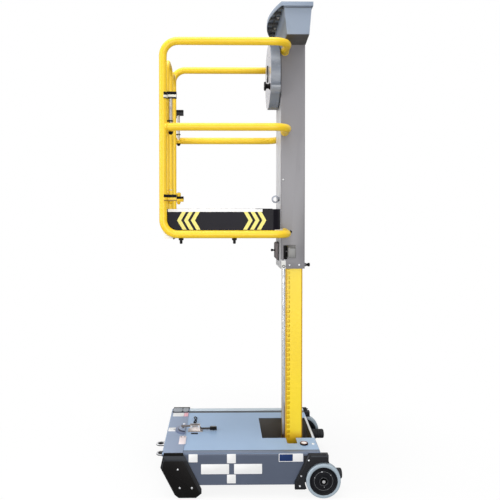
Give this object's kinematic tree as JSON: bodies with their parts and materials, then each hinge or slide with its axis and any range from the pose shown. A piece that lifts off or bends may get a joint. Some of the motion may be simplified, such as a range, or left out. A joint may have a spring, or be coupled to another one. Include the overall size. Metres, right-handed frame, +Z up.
{
  "type": "mobile work platform",
  "caption": "Push-around access lift: railed one-person platform with an entry gate on a telescopic mast raised by a hand wheel, on a weighted base with feet and road wheels.",
  "frame": {"origin": "on the floor under the middle of the machine's bounding box, platform raised", "axes": "+Z up, +X from the entry gate towards the mast and road wheels, +Y to the far side"},
  "size_m": [1.13, 0.7546, 2.866],
  "materials": {
    "yellow_paint": "semi-gloss powder coat",
    "gray_paint": "satin powder coat",
    "deck_paint": "textured satin paint",
    "slate_paint": "satin paint",
    "black_paint": "satin paint",
    "black_plastic": "moulded, fine grain",
    "tray_plastic": "vacuum-formed, fine grain",
    "wheel_plastic": "moulded, satin",
    "pad_plastic": "machined, matte",
    "zinc_steel": "bright zinc plate",
    "tyre_rubber": "non-marking gray rubber",
    "buffer_rubber": "matte",
    "ballast_iron": "as cast",
    "lens_glass": "clear"
  },
  "bodies": {
    "base": {"base_frame": "slate_paint", "base_deck": "deck_paint", "step_plate": "deck_paint", "ballast_slab": "ballast_iron", "front_foot_near": "black_plastic", "front_foot_far": "black_plastic", "wheel_bracket_near": "black_paint", "wheel_bracket_far": "black_paint", "wheel_axles": "zinc_steel", "rear_buffers": "buffer_rubber", "hitch_bracket": "zinc_steel", "drawbar_socket": "slate_paint", "clamp_bed": "zinc_steel", "clamp_pins": "zinc_steel", "level_body": "black_plastic", "level_lens": "lens_glass", "base_screws": "zinc_steel", "mast_column": "yellow_paint", "column_bolts": "zinc_steel", "gear_rack": "zinc_steel", "upper_pads": "pad_plastic", "gas_cylinder": "black_paint"},
    "carriage": {"outer_mast": "gray_paint", "mast_head": "gray_paint", "lower_pads": "pad_plastic", "gas_rod": "zinc_steel", "brake_housing": "black_paint", "catch_housing": "gray_paint", "mast_screws": "zinc_steel", "anchor_eye": "zinc_steel", "tool_tray": "tray_plastic", "side_frame_near": "yellow_paint", "side_frame_far": "yellow_paint", "platform_floor": "zinc_steel", "floor_frame": "black_paint", "toe_board_near": "black_paint", "toe_board_far": "black_paint", "floor_bolts": "black_plastic", "gate_brackets": "black_plastic", "hinge_rods": "zinc_steel", "rod_caps": "black_plastic", "crank_bearing": "black_paint", "drive_chain": "zinc_steel"},
    "crank": {"crank_wheel": "wheel_plastic", "crank_shaft": "zinc_steel"},
    "crank_knob": {"crank_knob": "black_plastic"},
    "pinion": {"drive_pinion": "zinc_steel"},
    "gate_near": {"gate_leaf_near": "yellow_paint"},
    "gate_far": {"gate_leaf_far": "yellow_paint"},
    "wheel_near": {"wheel_hub_near": "black_plastic", "wheel_tyre_near": "tyre_rubber"},
    "wheel_far": {"wheel_hub_far": "black_plastic", "wheel_tyre_far": "tyre_rubber"},
    "clamp_lever": {"clamp_lever": "zinc_steel", "clamp_grip": "black_plastic"},
    "clamp_arm": {"clamp_arm": "zinc_steel"},
    "brake_knob": {"brake_knob": "black_plastic"},
    "lock_knob": {"lock_knob": "black_plastic"},
    "catch_pawl": {"catch_pawl": "zinc_steel"}
  },
  "joints": [
    {"name": "mast_lift", "type": "slide", "parent": "base", "child": "carriage", "axis": [0, 0, 1], "range_m": [-1.12, 0]},
    {"name": "crank_turn", "type": "hinge", "parent": "carriage", "child": "crank", "pos_m": [0.2, 0, 2.505], "axis": [1, 0, 0], "continuous": true},
    {"name": "pinion_turn", "type": "hinge", "parent": "carriage", "child": "pinion", "pos_m": [0.2, 0, 1.4], "axis": [1, 0, 0], "continuous": true},
    {"name": "crank_knob_spin", "type": "hinge", "parent": "crank", "child": "crank_knob", "pos_m": [0.13, -0.14743, 2.41641], "axis": [1, 0, 0], "continuous": true},
    {"name": "gate_near_swing", "type": "hinge", "parent": "carriage", "child": "gate_near", "pos_m": [-0.441, -0.297, 2], "axis": [0, 0, -1], "range_deg": [0, 85], "stiffness_Nm_per_rad": 3},
    {"name": "gate_far_swing", "type": "hinge", "parent": "carriage", "child": "gate_far", "pos_m": [-0.441, 0.297, 2], "axis": [0, 0, 1], "range_deg": [0, 85], "stiffness_Nm_per_rad": 3},
    {"name": "wheel_near_roll", "type": "hinge", "parent": "base", "child": "wheel_near", "pos_m": [0.442, -0.355, 0.1], "axis": [0, 1, 0], "continuous": true},
    {"name": "wheel_far_roll", "type": "hinge", "parent": "base", "child": "wheel_far", "pos_m": [0.442, 0.355, 0.1], "axis": [0, 1, 0], "continuous": true},
    {"name": "clamp_lever_lift", "type": "hinge", "parent": "base", "child": "clamp_lever", "pos_m": [-0.292, -0.025, 0.285], "axis": [0, -1, 0], "range_deg": [0, 60]},
    {"name": "clamp_arm_lift", "type": "hinge", "parent": "base", "child": "clamp_arm", "pos_m": [-0.336, -0.025, 0.285], "axis": [0, 1, 0], "range_deg": [0, 70]},
    {"name": "brake_pull", "type": "slide", "parent": "carriage", "child": "brake_knob", "axis": [-1, 0, 0], "range_m": [0, 0.008], "stiffness_N_per_m": 600},
    {"name": "lock_pull", "type": "slide", "parent": "carriage", "child": "lock_knob", "axis": [1, 0, 0], "range_m": [0, 0.008], "stiffness_N_per_m": 600},
    {"name": "catch_swing", "type": "hinge", "parent": "carriage", "child": "catch_pawl", "pos_m": [0.268, -0.141, 1.432], "axis": [1, 0, 0], "range_deg": [0, 13], "stiffness_Nm_per_rad": 1}
  ],
  "couplings": [
    {"joint": "crank_turn", "follows": "mast_lift", "rad_per_m": 37.037},
    {"joint": "pinion_turn", "follows": "mast_lift", "rad_per_m": 37.037},
    {"joint": "clamp_arm_lift", "follows": "clamp_lever_lift", "ratio": 1.1667}
  ]
}
